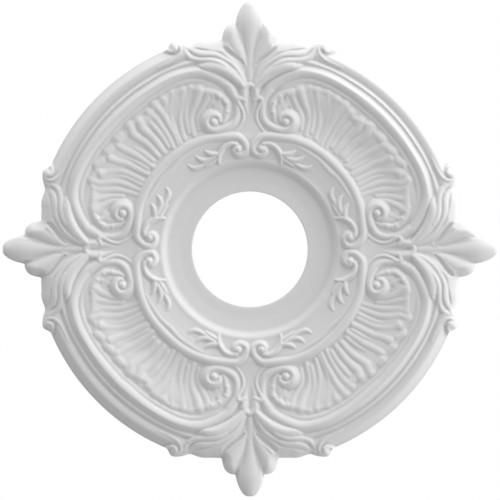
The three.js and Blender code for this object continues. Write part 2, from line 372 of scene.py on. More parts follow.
@dataclass(frozen=True)
class Sprig:
    """The leafy twig on the field, inside the scroll."""

    flanks: Pair = (0.55, 0.55)
    soft: float = 0.35
    stem: tuple[Spot, ...] = (
        (14, 104.8, 14.9, 1.8), (18, 105.6, 14.9, 1.9), (22, 104.5, 14.9, 1.9),
        (26, 102, 14.8, 1.9), (29, 98, 14.5, 1.9), (31, 94, 14.2, 1.9), (31.3, 90, 13.3, 1.6),
        (31, 86, 12.2, 1.3),
    )
    leaves: tuple[tuple[Spot, ...], ...] = (
        ((32, 95, 14.2, 1.8), (37, 95, 14.4, 2.3), (41, 96, 14.2, 2.2), (44.5, 98, 13.8, 1.5)),
        (
            (35, 92.5, 13.7, 1.7), (42, 89.5, 13.6, 2.2), (47, 89, 13.7, 2.4),
            (51, 90.5, 13.6, 2.1), (54.3, 93.3, 13.3, 1.4),
        ),
        (
            (40, 88.5, 12.9, 1.5), (47, 84.5, 12.8, 2.0), (52, 82, 12.9, 2.3),
            (56, 81.2, 13.0, 2.3), (59.6, 82.4, 12.9, 1.9), (61.5, 84.3, 12.7, 1.3),
        ),
        ((33, 90, 13.2, 1.3), (38, 87, 12.8, 1.6), (41, 84.8, 12.5, 1.4), (44, 83, 12.2, 1.0)),
    )

    def carve(self, relief: Relief) -> None:
        """Raises the stem and its leaves."""
        for spots in (*self.leaves, self.stem):
            relief.carve(Line(spots, self.flanks, soft=self.soft))


@dataclass(frozen=True)
class Shell:
    """The fluted shell between the scrolls, with a lobed edge and a roll at each end."""

    flute_flanks: Pair = (0.27, 0.27)
    flute_soft: float = 0.5
    frill_flanks: Pair = (0.7, 0.7)
    frill_soft: float = 0.6
    flutes: tuple[tuple[Spot, ...], ...] = (
        ((154, 40, 15.2, 3.7), (147, 44, 13.8, 3.3), (138, 47.5, 12.8, 2.9), (128, 48, 12.7, 2.4)),
        (
            (156.5, 50, 15.0, 3.8), (148, 51.5, 13.6, 3.3), (138, 53, 12.4, 2.9),
            (127, 53, 12.2, 2.2),
        ),
        (
            (156, 61, 14.9, 3.8), (147, 59.5, 13.4, 3.3), (134, 59.5, 12.4, 2.9),
            (119, 56.5, 12.3, 2.4), (112, 54, 13.1, 2.2),
        ),
        (
            (158, 69, 15.6, 3.8), (151, 66.5, 14.6, 3.4), (142, 67.3, 13.3, 3.3),
            (130, 66.5, 12.3, 2.9), (117, 62, 12.4, 2.5), (109, 58.5, 13.1, 2.0),
        ),
        (
            (136, 73.5, 11.9, 2.0), (126, 72.5, 11.9, 2.2), (117, 68.8, 12.2, 2.2),
            (108, 64.3, 13.1, 2.0),
        ),
        (
            (149.5, 76.5, 15.8, 3.8), (142, 78.5, 14.0, 3.4), (131, 78.5, 12.6, 3.0),
            (120, 75, 12.1, 2.7), (107, 68.5, 13.0, 2.0),
        ),
        ((153.5, 85, 15.7, 3.8), (148, 88.5, 15.4, 3.4)),
        (
            (140, 91.5, 15.6, 3.8), (132.5, 88.3, 14.0, 3.4), (124, 86, 12.7, 3.3),
            (115.7, 81.8, 12.4, 3.0), (102.3, 75, 13.3, 2.2),
        ),
        ((126, 92.5, 12.2, 2.0), (116, 88.5, 12.0, 2.2), (102, 80.5, 12.9, 2.0)),
        ((142.5, 97.5, 15.9, 3.8), (138.5, 101, 15.5, 3.4)),
        (
            (132.5, 104.3, 15.6, 3.8), (125.7, 100.1, 14.2, 3.5), (115.7, 95.1, 12.8, 3.3),
            (105.7, 88.5, 12.6, 2.9), (97.3, 82.6, 13.3, 2.2),
        ),
        ((132, 110, 16.0, 3.8), (129, 113, 15.7, 3.4)),
        (
            (119.5, 103.8, 12.6, 2.0), (109, 97.8, 12.1, 2.2), (102.3, 92.8, 12.3, 2.2),
            (97, 88.5, 13.0, 2.0),
        ),
        (
            (120, 122.5, 16.2, 3.8), (118, 116.5, 15.6, 3.8), (112.3, 111.8, 14.2, 3.4),
            (105.7, 107.6, 13.1, 3.0), (99, 101.8, 12.5, 2.6), (92, 93.5, 13.1, 2.2),
        ),
        (
            (110.5, 127.5, 16.3, 3.8), (108, 121.5, 15.2, 3.8), (102.3, 116.5, 13.9, 3.4),
            (95.7, 110, 12.9, 3.3), (86, 97.3, 12.9, 2.6),
        ),
        (
            (99.8, 126.8, 14.0, 2.2), (93.2, 119.3, 13.4, 2.4),
            (87.3, 111.8, 12.6, 2.2), (81.5, 102.5, 12.9, 2.0),
        ),
        (
            (101, 136.5, 15.8, 3.7), (94.5, 131, 14.2, 3.0), (89, 123.5, 13.2, 2.9),
            (82.3, 113.5, 12.5, 2.4), (76, 101, 13.1, 2.0),
        ),
        (
            (95, 144, 16.0, 3.8), (87, 135, 14.2, 3.0), (81.5, 125, 13.0, 2.7),
            (75.7, 115, 12.6, 2.4), (71, 104, 13.1, 2.0),
        ),
        ((86.5, 149.5, 15.9, 4.1), (83.5, 142, 13.8, 3.3), (82, 135, 12.2, 2.4)),
        (
            (78, 156, 15.4, 3.8), (79, 147, 14.2, 3.4), (79.5, 138, 13.1, 3.0),
            (78.3, 127, 12.3, 2.7), (73, 114, 12.2, 2.4), (69, 106, 13.0, 2.0),
        ),
        (
            (67, 158.5, 15.5, 3.8), (68, 150, 14.2, 3.3), (69, 141, 12.9, 3.0),
            (70, 131, 12.2, 2.6), (68, 119, 12.1, 2.2), (65.5, 110, 12.8, 2.0),
        ),
        (
            (59.5, 161, 15.2, 3.7), (62.5, 152, 13.6, 3.1), (63.8, 142, 12.6, 2.9),
            (63.8, 131, 12.1, 2.5), (61, 117, 12.4, 2.1),
        ),
        (
            (50.5, 158.5, 16.1, 3.8), (54, 148, 14.2, 3.0), (58, 138, 12.6, 2.6),
            (59, 128, 12.1, 2.3), (56, 114, 12.9, 2.0),
        ),
        (
            (42, 156, 15.4, 3.4), (44, 149, 14.0, 2.9), (48, 141, 12.8, 2.4),
            (51.5, 132, 12.2, 2.0), (51, 120, 12.4, 1.7),
        ),
    )
    lip: Line = Line(
        (
            (157.6, 42, 15.2, 3.2), (157.4, 50, 15.0, 3.2), (157.6, 60, 14.8, 3.2),
            (158.6, 69, 15.1, 3.2), (153.4, 77, 15.0, 3.2), (154.4, 85.5, 15.1, 3.2),
            (147, 91.5, 15.0, 3.2), (143, 98.5, 15.2, 3.2), (136.4, 104, 15.1, 3.2),
            (132.4, 111, 15.2, 3.2), (124.6, 116.6, 15.2, 3.2), (120, 123.4, 15.4, 3.2),
            (110.8, 128.6, 15.4, 3.2), (103, 133, 15.2, 3.2), (96.4, 143, 15.2, 3.2),
            (87.6, 150.4, 15.2, 3.2), (78.6, 156.6, 15.0, 3.2), (67.6, 159.2, 14.9, 3.2),
            (60, 161.6, 14.8, 3.2), (51, 159.2, 15.1, 3.2), (42, 157.6, 15.1, 3.2),
        ),
        flanks=(0.2, 0.5),
        soft=0.5,
        fold=Fold.QUARTER,
    )
    roll: Line = Line(
        (
            (42, 157.5, 15.4, 3.2), (35.5, 156.2, 15.3, 2.7), (30, 153.2, 15.0, 2.4),
            (25.8, 149.5, 14.7, 2.2), (23, 145, 14.5, 2.2), (23.2, 140, 14.2, 2.1),
            (24.2, 135, 14.0, 2.1), (24.8, 130.5, 13.7, 2.1), (27, 126, 13.5, 1.9),
        ),
        flanks=(0.5, 0.35),
    )
    dish: Line = Line(
        ((42, 151, 13.2, 6), (35, 147, 13.4, 8), (30, 142, 13.4, 8), (29, 136, 13.4, 6)),
        flanks=(0.35, 0.35),
        soft=1.0,
    )
    frill: tuple[Spot, ...] = (
        (38.4, 156, 15.6, 4.0), (30.4, 153, 15.5, 3.8), (23.8, 146.6, 15.1, 3.4),
        (23, 137.6, 14.6, 3.0),
    )
    ruffles: tuple[tuple[Spot, ...], ...] = (
        ((36.5, 155, 14.8, 2.4), (38, 149, 13.4, 2.2), (41, 142.5, 12.5, 1.8)),
        ((29.4, 151.5, 14.6, 2.6), (31.8, 146, 13.6, 2.4), (34.5, 140, 13.2, 2.0)),
    )

    def carve(self, relief: Relief) -> None:
        """Raises the dish, the flutes, the ruffles, the lip and the two rolls with their frill.

        Args:
            relief: the surface to carve.
        """
        relief.carve(self.dish)
        for spots in self.flutes:
            flute = Line(spots, self.flute_flanks, soft=self.flute_soft, fold=Fold.QUARTER)
            relief.carve(flute)
        for spots in self.ruffles:
            relief.carve(Line(spots, self.flute_flanks, soft=self.flute_soft))
        relief.carve(self.lip)
        relief.carve(self.roll)
        for spot in self.frill:
            relief.carve(Line((spot,), self.frill_flanks, soft=self.frill_soft))


@dataclass(frozen=True)
class ScrollFrame:
    """The bold scroll outside the shell, which curls into an eye beside each leaf cluster."""

    terrace: Line = Line(
        (
            (127.6, 127.6, 15.2, 3.0), (105.5, 146.5, 15.2, 3.0), (90, 156.6, 15.2, 3.0),
            (80, 162.4, 15.3, 3.0), (70, 166.6, 15.4, 3.0), (60, 168.8, 15.2, 3.0),
            (50, 168.5, 14.9, 3.0), (42, 166.2, 14.5, 3.0), (34, 161.4, 13.9, 2.8),
            (27, 155, 13.2, 2.4),
        ),
        flanks=(0.35, 0.2),
        soft=0.2,
    )
    crest: Line = Line(
        (
            (133, 133, 17.6, 6.0), (110.4, 152.5, 17.6, 6.0), (100.2, 160.2, 17.6, 6.0),
            (89.9, 166.4, 17.6, 6.0), (79.6, 171.6, 17.6, 6.0), (70, 174.9, 17.5, 5.8),
            (60, 177.2, 17.3, 5.8), (50, 177.3, 17.2, 5.6), (44, 175.9, 17.1, 5.4),
            (37, 173.1, 16.7, 5.2), (30, 169.3, 16.2, 5.0), (20, 162.2, 15.6, 4.6),
            (14, 151.4, 14.8, 3.8),
        ),
        flanks=(0.42, 0.62),
        soft=0.2,
    )
    foot: Line = Line(
        (
            (137.6, 137.6, 13.5, 1.2), (120, 153.2, 13.5, 1.2), (99.3, 167.4, 13.5, 1.2),
            (86.8, 174.6, 13.5, 1.2), (74.3, 180, 13.5, 1.2), (62, 183, 13.4, 1.2),
            (53, 184.4, 13.4, 1.2),
        ),
        flanks=(0.5, 0.5),
        side=Side.CUT,
        soft=0.2,
    )
    volute: Line = Line(
        (
            (20, 160, 15.4, 4.4), (14, 151, 14.8, 3.8), (12.8, 143, 14.1, 3.2),
            (13, 134, 13.9, 3.0), (16, 127, 14.1, 3.0), (22, 122.5, 14.7, 3.1),
            (30, 119.6, 15.1, 3.3), (36, 119.4, 15.3, 3.2), (41, 121.6, 15.6, 3.0),
            (43.6, 126, 15.9, 2.7), (42.8, 130.8, 16.1, 2.4), (39, 134, 16.0, 2.2),
            (34.3, 134.3, 15.6, 2.1), (31, 132, 15.1, 2.0), (30.4, 128.6, 14.6, 1.8),
        ),
        flanks=(0.5, 0.42),
        soft=0.3,
    )
    eye: Line = Line(((36.2, 127.2, 16.3, 3.6),), flanks=(0.55, 0.55), soft=0.3)
    tendril: Line = Line(
        (
            (5, 149, 14.8, 2.0), (9, 150.8, 15.4, 2.4), (12, 149.8, 15.4, 2.6),
            (11.6, 146.3, 15.0, 2.4), (9.3, 142.5, 14.3, 2.0), (7.4, 138.5, 13.8, 1.8),
            (6.4, 134, 13.4, 1.7), (6.9, 129.5, 13.1, 1.6), (9.2, 124, 12.9, 1.6),
            (12.4, 119.5, 13.0, 1.6), (15.4, 116.6, 13.4, 1.5),
        ),
        soft=0.3,
    )

    def carve(self, relief: Relief) -> None:
        """Raises the terrace, crest, volute, eye and tendril, and cuts the crest's foot."""
        for line in (self.terrace, self.crest, self.foot, self.volute, self.eye, self.tendril):
            relief.carve(line)


@dataclass(frozen=True)
class LeafCluster:
    """The fan of leaves over the rim, with the bud below it and the balls that end the rim."""

    plate_level: float = 11.2
    plate_from: float = 190.0
    plate_blend: float = 0.01
    tip_drop: float = 4.5
    tip_ring: Pair = (222.0, 246.0)
    rounded_to: float = 82.0
    outline: tuple[Pair, ...] = (
        (0, 247), (2.6, 246.8), (4.7, 246), (6.6, 244.4), (8.4, 242), (9.8, 239.8), (11.1, 237),
        (12.3, 234), (13.2, 231), (13.8, 228.4), (14.1, 226.4), (14.6, 225), (16.4, 225),
        (19.2, 224.4), (22.6, 222.6), (25.4, 219.2), (27, 214.6), (28, 209.6), (29.4, 208.4),
        (33, 208.4), (40, 208.2), (45, 208.4), (50, 207.7), (54.5, 206.2), (59.3, 204.6),
        (62.5, 205.1), (66, 206.2), (70, 207), (74.3, 207.3), (77.6, 206.8), (80, 204.7),
        (81.4, 201.6), (83.5, 198.7),
    )
    leaves: tuple[Line, ...] = (
        Line(
            (
                (0, 246, 8.0, 4), (0, 240, 10.3, 7), (0, 235, 11.7, 9.5), (0, 229, 12.8, 11.4),
                (0, 222, 13.2, 10.8), (0, 214, 13.0, 7.8), (0, 206, 12.8, 5.2),
                (0, 199, 12.6, 4.0), (0, 193, 12.6, 3.6), (0, 185, 12.9, 3.8), (0, 177, 13.4, 3.6),
                (0, 169, 14.0, 3.2),
            ),
            flanks=(0.32, 0.32),
        ),
        Line(
            (
                (19.4, 220, 12.2, 6.2), (19.4, 215.5, 13.3, 7.6), (18.4, 209, 13.9, 8.2),
                (15.2, 203, 13.9, 7.2), (10.8, 196, 13.6, 5.2), (7.2, 189.5, 13.3, 3.8),
                (4.8, 184, 13.1, 2.6),
            ),
            flanks=(0.35, 0.35),
            soft=0.3,
        ),
        Line(
            (
                (26.3, 208.5, 13.2, 2.2), (23.4, 204, 14.1, 2.2), (19, 199.6, 14.1, 2.0),
                (14, 195, 13.8, 1.9), (9, 190.6, 13.5, 1.8), (5, 186, 13.2, 1.7),
            ),
            soft=0.25,
        ),
        Line(
            (
                (33.5, 205, 11.6, 3.0), (31.5, 202.5, 13.4, 3.4), (28.5, 199.5, 14.3, 3.2),
                (24, 195.5, 14.5, 3.0),
            ),
            flanks=(0.5, 0.5),
        ),
        Line(
            (
                (55, 202.5, 11.0, 3.0), (52, 202.5, 12.2, 3.8), (46, 202, 13.4, 4.6),
                (40, 201.3, 14.1, 4.2), (36, 200, 14.4, 3.8), (30, 198, 14.5, 3.5),
                (25, 195, 14.6, 3.2), (20, 191, 14.5, 3.0), (15, 186, 14.2, 3.0),
                (11, 181, 13.9, 2.8), (8, 176, 13.7, 2.5),
            ),
            flanks=(0.55, 0.55),
        ),
        Line(
            (
                (57.5, 198.5, 12.6, 2.8), (54, 196.2, 14.2, 3.2), (48, 194.6, 15.5, 3.2),
                (38, 194.5, 15.9, 3.2), (32, 193, 16.0, 3.0), (26, 190, 15.9, 3.0),
                (20, 186.5, 15.7, 3.0), (15, 182, 15.5, 2.8), (10, 175, 15.3, 2.6),
                (6, 167, 15.1, 2.3),
            ),
        ),
        Line(
            (
                (68.5, 203.5, 9.6, 2.6), (66.5, 200.5, 11.4, 2.7), (64.5, 197, 12.7, 2.8),
                (61, 192.5, 14.0, 2.9), (56, 189.8, 15.1, 3.0), (50, 188.9, 16.0, 3.0),
                (44, 188.7, 16.7, 3.0), (38, 188.3, 17.3, 3.0), (31, 186.5, 17.6, 3.0),
                (25, 183, 17.3, 3.0),
            ),
        ),
        Line(
            (
                (47, 182, 17.0, 2.8), (45, 182, 17.6, 3.8), (41, 182.2, 18.0, 5.0),
                (36, 182, 18.2, 5.8), (31, 180.8, 18.1, 6.2), (25, 178.3, 17.8, 6.0),
                (19, 174.6, 17.3, 5.4), (14, 170.4, 16.8, 4.4), (10, 166.8, 16.3, 3.5),
                (6.5, 162.6, 15.8, 2.5),
            ),
            flanks=(0.7, 0.36),
            soft=0.25,
        ),
    )
    bud: Line = Line(
        (
            (0, 164.6, 15.2, 2.0), (3.4, 163, 15.4, 2.4), (5.7, 160, 15.5, 2.8),
            (6.2, 155, 15.2, 3.0), (5.9, 150, 14.5, 3.0), (5.1, 145, 13.7, 2.8),
            (3.9, 140.5, 13.0, 2.6), (2.4, 135, 12.3, 2.2),
        ),
        flanks=(0.55, 0.35),
        soft=0.4,
    )
    grooves: tuple[Line, ...] = (
        Line(
            (
                (40, 177.4, 16.2, 1.6), (32, 174.6, 15.6, 1.7), (23, 169.8, 15.1, 1.8),
                (15, 164.6, 14.6, 1.8), (11, 160.5, 14.1, 1.8), (9.5, 155, 14.0, 1.6),
            ),
            flanks=(0.7, 0.7),
            side=Side.CUT,
        ),
        Line(
            (
                (29.5, 206.5, 11.6, 1.5), (25.6, 201.6, 11.8, 1.5), (20.6, 196.9, 11.8, 1.5),
                (15.4, 192.9, 11.8, 1.5), (10.2, 188.9, 11.8, 1.5), (6.4, 184.8, 12.0, 1.3),
            ),
            side=Side.CUT,
        ),
        Line(
            (
                (14.2, 225, 8.0, 1.5), (12.4, 220.5, 9.9, 1.4), (9.8, 216, 11.1, 1.3),
                (7.3, 210.5, 11.7, 1.2), (5.4, 203, 12.0, 1.2), (4.3, 195, 12.2, 1.1),
                (4.0, 188, 12.5, 1.0),
            ),
            flanks=(0.5, 0.5),
            side=Side.CUT,
        ),
        Line(
            ((0, 160, 14.9, 2.0), (0, 153, 14.4, 3.0), (0, 146, 13.4, 2.8), (0, 137, 12.4, 2.2)),
            flanks=(0.3, 0.3),
            side=Side.CUT,
        ),
    )
    ball: Line = Line(((76.4, 200.4, 13.7, 5.0),), soft=0.2)
    band: Line = Line(
        (
            (71.6, 205, 10.6, 1.3), (69.2, 201, 12.2, 1.6), (69.2, 196.4, 13.2, 1.8),
            (72, 192, 13.7, 1.9), (77, 188.4, 13.6, 1.8), (84, 185, 13.4, 1.6),
            (92, 181.4, 13.2, 1.3),
        ),
        soft=0.2,
    )
    curl: Line = Line(
        (
            (84, 196, 12.0, 1.0), (79.4, 193.6, 11.8, 1.3), (75, 194, 11.6, 1.5),
            (71.8, 197.4, 11.2, 1.4), (71.4, 202, 10.2, 1.2),
        ),
        side=Side.CUT,
        soft=0.3,
    )
    plate_edge: tuple[Pair, ...] = (
        (192, 0.20), (195.4, 0.265), (198, 0.295), (202, 0.317), (207, 0.327), (211, 0.332),
    )

    def carve(self, relief: Relief) -> None:
        """Lays the plate, raises leaves, bud, bands and balls, and rounds the free edge.

        Args:
            relief: the surface to carve, in which the curls and grooves are cut too.
        """
        across, out = relief.folded(Fold.EIGHTH)
        past = across / out - np.interp(relief.radius, *np.array(self.plate_edge).T)
        within = 1 - eased(past, -self.plate_blend, self.plate_blend)
        on_plate = within * (relief.radius > self.plate_from)
        plate = self.plate_level - self.tip_drop * eased(out, *self.tip_ring)
        relief.height += on_plate * (plate - relief.height)
        relief.carve(self.curl)
        relief.carve(self.band)
        relief.carve(self.ball)
        for line in (*self.leaves, self.bud, *self.grooves):
            relief.carve(line)
        edge = tuple(place for place in self.outline if place[0] < self.rounded_to)
        relief.round_off(Rounding(edge))

    def reach(self, angle: np.ndarray, rim_radius: float) -> np.ndarray:
        """Gives the rose's outer radius at each angle from the nearest axis.

        Args:
            angle: radians from the nearest axis, from 0 to a quarter of pi.
            rim_radius: the rim's own radius, which the clusters break.

        Returns:
            The outline's radius in units.
        """
        row = flowing(self.outline)
        turn = np.arctan2(row[:, 0], row[:, 1])
        return np.interp(angle, turn, np.hypot(row[:, 0], row[:, 1]), right=rim_radius)


@dataclass(frozen=True)
class Back:
    """The flat back: a land at each edge, ribs between them and shallow recessed bays."""

    inner_land: float = 12.0
    outer_land: float = 26.0
    rib_width: float = 14.0
    recess: float = 2.0
    slope: float = 1.2
    ribs: int = 8

    def carve(self, across: np.ndarray, out: np.ndarray, body: Body) -> np.ndarray:
        """Gives the depth of the bays at each place.

        Args:
            across: places in units.
            out: places in units.
            body: the turned form, whose hole and rim the lands follow.

        Returns:
            The depth in millimetres, 0 on the lands and ribs.
        """
        radius = np.hypot(across, out) * UNIT_MM
        pitch = 2 * math.pi / self.ribs
        turn = (np.arctan2(across, out) + pitch / 2) % pitch - pitch / 2
        from_rib = np.abs(np.sin(turn)) * radius - self.rib_width / 2
        from_hole = radius - body.hole_radius * UNIT_MM - self.inner_land
        from_rim = body.rim_radius * UNIT_MM - self.outer_land - radius
        inside = np.minimum(np.minimum(from_hole, from_rim), from_rib)
        return self.recess * eased(inside, 0, self.slope)


@dataclass(frozen=True)
class Casting:
    """The whole rose, carved once over a quarter and mirrored to the other three.

    The motifs are drawn as the camera sees them from drawn_from metres away. What stands higher
    looks larger from there, so it is drawn in a little towards the middle.
    """

    body: Body = Body()
    inner_scroll: InnerScroll = InnerScroll()
    sprig: Sprig = Sprig()
    shell: Shell = Shell()
    scroll_frame: ScrollFrame = ScrollFrame()
    leaf_cluster: LeafCluster = LeafCluster()
    back: Back = Back()
    front_rows: int = 196
    back_rows: int = 14
    columns: int = 360
    back_share: float = 0.98
    back_inset: float = 2.0
    drawn_from: float = 1.6
    hollow_passes: int = 10
    hollow_depth: float = 0.35
    sharp_angle: float = 62.0

    def carved(self, across: np.ndarray, out: np.ndarray) -> Relief:
        """Carves every motif over the given places.

        Args:
            across: distance of each place from the vertical axis, in units.
            out: distance of each place from the horizontal axis, in units.

        Returns:
            The finished relief.
        """
        relief = Relief(across, out)
        self.body.carve(relief)
        self.sprig.carve(relief)
        self.inner_scroll.carve(relief)
        self.shell.carve(relief)
        self.scroll_frame.carve(relief)
        self.leaf_cluster.carve(relief)
        return relief

    def quarter(self) -> bpy.types.Mesh:
        """Builds the closed mesh of one quarter.

        Returns:
            A mesh in metres, with a point attribute that marks its hollows.
        """
        bm = bmesh.new()
        row_of = bm.verts.layers.int.new("row")
        rows = self.front_rows + self.back_rows
        first = [bm.verts.new((0, 1 + row / rows, 0)) for row in range(rows)]
        for row, vert in enumerate(first):
            vert[row_of] = row
        ring = [bm.edges.new(pair) for pair in zip(first, first[1:] + first[:1])]
        swept = bmesh.ops.spin(
            bm, geom=first + ring, cent=(0, 0, 0), axis=(0, 0, 1),
            angle=QUARTER_TURN, steps=self.columns, use_duplicate=False,
        )
        last = [piece for piece in swept["geom_last"] if isinstance(piece, bmesh.types.BMEdge)]
        bmesh.ops.holes_fill(bm, edges=ring + last, sides=0)
        mesh = bpy.data.meshes.new("rose_quarter")
        bm.to_mesh(mesh)
        bm.free()
        self.shape(mesh)
        return mesh

    def radius_of(self, row: np.ndarray, reach: np.ndarray) -> np.ndarray:
        """Spreads the rows over the face, from the hole to the outline, and back behind it.

        Args:
            row: each point's row.
            reach: the outline's radius at each point's angle, in units.

        Returns:
            Each point's radius in units.
        """
        body = self.body
        hole, level, rim = body.hole_radius, body.level_radius, body.rim_radius
        share = row / (self.front_rows - 1)
        split = round(self.front_rows * (level - hole) / (rim - hole)) / (self.front_rows - 1)
        over_face = np.where(
            share < split,
            hole + (level - hole) * share / split,
            level + (reach - level) * (share - split) / (1 - split),
        )
        behind = (row - self.front_rows + 0.5) / self.back_rows
        over_back = rim + (hole - rim) * behind * self.back_share - self.back_inset
        over_back[row == self.front_rows] = reach[row == self.front_rows]
        over_back[row == self.front_rows + self.back_rows - 1] = hole
        return np.where(row < self.front_rows, over_face, over_back)

    def shape(self, mesh: bpy.types.Mesh) -> None:
        """Moves the spun quarter's points to the carved surface and the back.

        Args:
            mesh: the quarter's mesh, whose points know their row.
        """
        count = len(mesh.vertices)
        place = np.empty(count * 3)
        mesh.vertices.foreach_get("co", place)
        place = place.reshape(count, 3)
        row = np.empty(count, dtype=np.int32)
        mesh.attributes["row"].data.foreach_get("value", row)
        spun = np.arctan2(-place[:, 0], place[:, 1])
        column = np.rint(spun / QUARTER_TURN * self.columns)
        turn = column / self.columns * QUARTER_TURN
        reach = self.leaf_cluster.reach(
            np.minimum(turn, QUARTER_TURN - turn), self.body.rim_radius
        )
        radius = self.radius_of(row, reach)
        across, out = np.sin(turn) * radius, np.cos(turn) * radius
        front = row < self.front_rows
        height = np.zeros(count)
        height[front] = self.carved(across[front], out[front]).height
        height[~front] = self.back.carve(across[~front], out[~front], self.body)
        lean = np.where(front, 1 - height * MILLIMETRE / self.drawn_from, 1)
        place[:, 0], place[:, 1] = across * lean * UNIT, out * lean * UNIT
        place[:, 2] = -height * MILLIMETRE
        mesh.vertices.foreach_set("co", place.ravel())
        self.mark_hollows(mesh, row, column.astype(int), height)

    def mark_hollows(
        self, mesh: bpy.types.Mesh, row: np.ndarray, column: np.ndarray, height: np.ndarray
    ) -> None:
        """Stores how far each point lies below what is around it.

        Args:
            mesh: the quarter's mesh.
            row: each point's row.
            column: each point's column.
            height: each point's height in millimetres.
        """
        front = row < self.front_rows
        sheet = np.zeros((self.front_rows, self.columns + 1))
        sheet[row[front], column[front]] = height[front]
        around = sheet
        for _ in range(self.hollow_passes):
            padded = np.pad(around, 1, mode="edge")
            around = (
                padded[:-2, 1:-1] + padded[2:, 1:-1] + padded[1:-1, :-2] + padded[1:-1, 2:]
                + 2 * around
            ) / 6
        hollow = np.zeros(len(row), dtype=np.float32)
        depth = (around - sheet) / self.hollow_depth
        hollow[front] = np.clip(depth, -1, 1)[row[front], column[front]]
        # the finish paints shade into the hollows that this mark picks out
        mark = mesh.attributes.new("hollow", "FLOAT", "POINT")
        mark.data.foreach_set("value", hollow)

    def build(self, finish: "WhiteCasting") -> None:
        """Makes the four quarters, named as seen from below.

        Args:
            finish: the finish to dress them in.
        """
        carved = self.quarter()
        material = finish.material()
        for name, flip in (
            ("rose_quarter_left_up", (1, 1)), ("rose_quarter_right_up", (-1, 1)),
            ("rose_quarter_left_down", (1, -1)), ("rose_quarter_right_down", (-1, -1)),
        ):
            mesh = carved.copy()
            mesh.name = name
            bm = bmesh.new()
            bm.from_mesh(mesh)
            bmesh.ops.scale(bm, vec=(*flip, 1), verts=bm.verts)
            bmesh.ops.remove_doubles(bm, verts=bm.verts, dist=WELD)
            bmesh.ops.recalc_face_normals(bm, faces=bm.faces)
            for face in bm.faces:
                face.smooth = len(face.verts) == 4  # the two cut ends are flat
            bm.to_mesh(mesh)
            bm.free()
            mesh.set_sharp_from_angle(angle=math.radians(self.sharp_angle))
            mesh.materials.append(material)
            piece = bpy.data.objects.new(name, mesh)
            bpy.context.scene.collection.objects.link(piece)
            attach(piece, "root")
            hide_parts("ceiling_rose")
            LOG.info("%s: %d faces", name, len(mesh.polygons))
        bpy.data.meshes.remove(carved)


